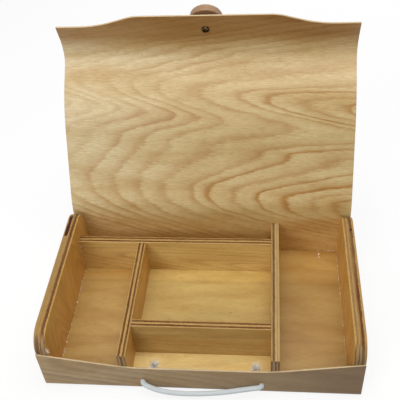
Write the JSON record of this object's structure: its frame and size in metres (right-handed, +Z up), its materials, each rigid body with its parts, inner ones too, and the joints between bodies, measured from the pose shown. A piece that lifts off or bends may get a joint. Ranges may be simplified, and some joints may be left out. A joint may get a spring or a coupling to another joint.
{
  "type": "art supply box",
  "caption": "Open flat wooden box with compartments for pencils and brushes, a bending plywood lid with a wavy flap and knob, and a cord handle.",
  "frame": {"origin": "middle of the underside of the box", "axes": "+X to the right along the width, +Y to the back, +Z up"},
  "size_m": [0.33, 0.3159, 0.2873],
  "materials": {
    "wrap_ply": "satin",
    "board_ply": "satin",
    "beech": "satin",
    "screw_steel": "satin",
    "cord": "matte"
  },
  "bodies": {
    "case": {"wrap": "wrap_ply", "left_end_panel": "board_ply", "right_end_panel": "board_ply", "floor_board": "board_ply", "back_divider": "board_ply", "right_divider": "board_ply", "left_divider": "board_ply", "cross_divider": "board_ply", "left_rope_knot": "cord", "right_rope_knot": "cord"},
    "back_bend": {"back_bend": "wrap_ply"},
    "lid_rear": {"lid_rear_panel": "wrap_ply"},
    "lid_front": {"lid_front_panel": "wrap_ply", "front_bend": "wrap_ply"},
    "flap": {"front_flap": "wrap_ply", "knob": "beech", "knob_screw": "screw_steel"},
    "handle": {"handle_rope": "cord"}
  },
  "joints": [
    {"name": "lid_hinge", "type": "hinge", "parent": "case", "child": "back_bend", "pos_m": [0, 0.096, 0.0665], "axis": [1, 0, 0], "range_deg": [0, 57.5], "stiffness_Nm_per_rad": 0.4},
    {"name": "lid_roll", "type": "hinge", "parent": "back_bend", "child": "lid_rear", "pos_m": [0, 0.09967, 0.08307], "axis": [1, 0, 0], "range_deg": [0, 57.5]},
    {"name": "lid_flex", "type": "hinge", "parent": "lid_rear", "child": "lid_front", "pos_m": [0, 0.14836, 0.18747], "axis": [1, 0, 0], "range_deg": [0, 22.5]},
    {"name": "flap_fold", "type": "hinge", "parent": "lid_front", "child": "flap", "pos_m": [0, 0.18953, 0.24216], "axis": [1, 0, 0], "range_deg": [0, 22.5], "stiffness_Nm_per_rad": 0.5},
    {"name": "handle_swing", "type": "hinge", "parent": "case", "child": "handle", "pos_m": [0, -0.10125, 0.0152], "axis": [-1, 0, 0], "range_deg": [0, 80]}
  ],
  "couplings": [
    {"joint": "lid_hinge", "follows": "lid_flex", "ratio": 2.5556},
    {"joint": "lid_roll", "follows": "lid_flex", "ratio": 2.5556}
  ]
}
